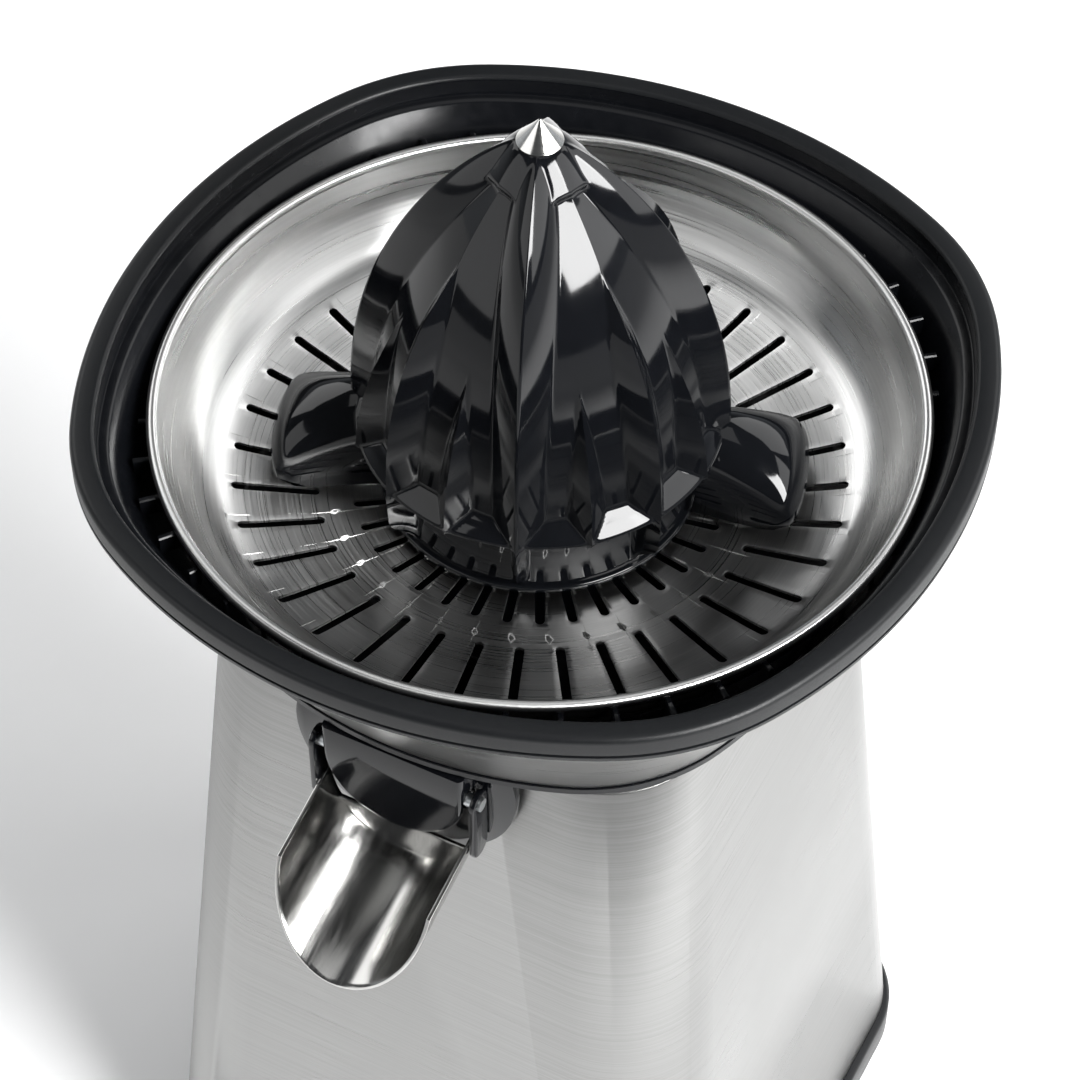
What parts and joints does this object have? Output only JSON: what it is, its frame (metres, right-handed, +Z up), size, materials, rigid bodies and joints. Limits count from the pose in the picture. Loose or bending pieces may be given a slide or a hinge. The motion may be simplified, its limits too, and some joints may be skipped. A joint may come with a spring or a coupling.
{
  "type": "electric citrus juicer",
  "caption": "Electric citrus juicer: tapered steel body, black bowl with strainer dish and fluted reamer cone, press-to-start spindle and a tilting pouring spout.",
  "frame": {"origin": "on the table under the axis of the drive spindle", "axes": "+Z up along the spindle, -Y to the front, where the spout is, +X to the object's right as seen from the front"},
  "size_m": [0.1706, 0.1736, 0.315],
  "materials": {
    "brushed_stainless": "brushed",
    "polished_stainless": "polished",
    "gloss_black": "gloss",
    "satin_black": "satin",
    "soft_rubber": "matte",
    "zinc_steel": "zinc plated",
    "ground_steel": "ground",
    "spring_steel": "drawn",
    "sintered_bronze": "satin",
    "turned_brass": "turned",
    "copper": "enamelled",
    "core_iron": "laminated",
    "ferrite": "matte",
    "carbon": "matte",
    "white_nylon": "moulded",
    "red_plastic": "moulded"
  },
  "bodies": {
    "base": {"housing_sleeve": "brushed_stainless", "base_plinth": "satin_black", "rubber_feet": "soft_rubber", "tie_screws": "zinc_steel", "top_deck": "satin_black", "spindle_tower": "satin_black", "spindle_bush": "sintered_bronze", "spindle_seal": "soft_rubber", "cord_gland": "soft_rubber", "motor_plate": "zinc_steel", "motor_can": "zinc_steel", "motor_end_cap": "white_nylon", "motor_magnets": "ferrite", "motor_bearings": "sintered_bronze", "carbon_brushes": "carbon", "motor_screws": "zinc_steel", "gearbox_spacers": "zinc_steel", "gearbox_cover": "white_nylon", "gearbox_screws": "zinc_steel", "cluster_axle": "ground_steel", "microswitch": "satin_black", "switch_screw": "zinc_steel", "return_spring": "spring_steel"},
    "plunger": {"switch_plunger": "red_plastic"},
    "press": {"press_collar": "white_nylon"},
    "spindle": {"drive_spindle": "ground_steel", "spindle_clip": "ground_steel"},
    "output": {"output_gear": "white_nylon", "output_clip": "ground_steel"},
    "cluster": {"cluster_gear": "white_nylon"},
    "rotor": {"rotor_shaft": "ground_steel", "rotor_core": "core_iron", "rotor_winding": "copper", "commutator": "copper", "motor_pinion": "turned_brass"},
    "reamer": {"reamer_cone": "gloss_black", "reamer_tip": "polished_stainless"},
    "strainer": {"strainer_dish": "polished_stainless"},
    "bowl": {"juice_bowl": "gloss_black", "bowl_skirt": "brushed_stainless", "outlet_nozzle": "gloss_black", "nozzle_gasket": "soft_rubber", "spout_pivots": "zinc_steel"},
    "spout": {"spout_gutter": "polished_stainless", "spout_cheeks": "gloss_black"}
  },
  "joints": [
    {"name": "press_slide", "type": "slide", "parent": "base", "child": "press", "axis": [0, 0, -1], "range_m": [0, 0.002], "stiffness_N_per_m": 3000, "springref_m": -0.003, "deforming": ["return_spring"]},
    {"name": "plunger_slide", "type": "slide", "parent": "base", "child": "plunger", "axis": [0, 0, -1], "range_m": [0, 0.002]},
    {"name": "rotor_spin", "type": "hinge", "parent": "base", "child": "rotor", "pos_m": [0, 0, 0.09], "axis": [0, 0, 1], "continuous": true},
    {"name": "cluster_spin", "type": "hinge", "parent": "base", "child": "cluster", "pos_m": [0, 0.03, 0.13], "axis": [0, 0, 1], "continuous": true},
    {"name": "output_spin", "type": "hinge", "parent": "base", "child": "output", "pos_m": [0, 0, 0.135], "axis": [0, 0, 1], "continuous": true},
    {"name": "spindle_spin", "type": "hinge", "parent": "press", "child": "spindle", "pos_m": [0, 0, 0.2], "axis": [0, 0, 1], "continuous": true},
    {"name": "reamer_lift", "type": "slide", "parent": "spindle", "child": "reamer", "axis": [0, 0, 1], "range_m": [0, 0.06]},
    {"name": "bowl_lift", "type": "slide", "parent": "base", "child": "bowl", "axis": [0, 0, 1], "range_m": [0, 0.02]},
    {"name": "strainer_lift", "type": "slide", "parent": "bowl", "child": "strainer", "axis": [0, 0, 1], "range_m": [0, 0.02]},
    {"name": "spout_tilt", "type": "hinge", "parent": "bowl", "child": "spout", "pos_m": [0, -0.05954, 0.1967], "axis": [-1, 0, 0], "range_deg": [0, 25]}
  ],
  "couplings": [
    {"joint": "plunger_slide", "follows": "press_slide", "ratio": 1},
    {"joint": "cluster_spin", "follows": "rotor_spin", "ratio": -0.33333},
    {"joint": "output_spin", "follows": "rotor_spin", "ratio": 0.11111},
    {"joint": "spindle_spin", "follows": "rotor_spin", "ratio": 0.11111},
    {"joint": "bowl_lift", "follows": "reamer_lift", "ratio": 0.33333},
    {"joint": "strainer_lift", "follows": "reamer_lift", "ratio": 0.33333}
  ]
}
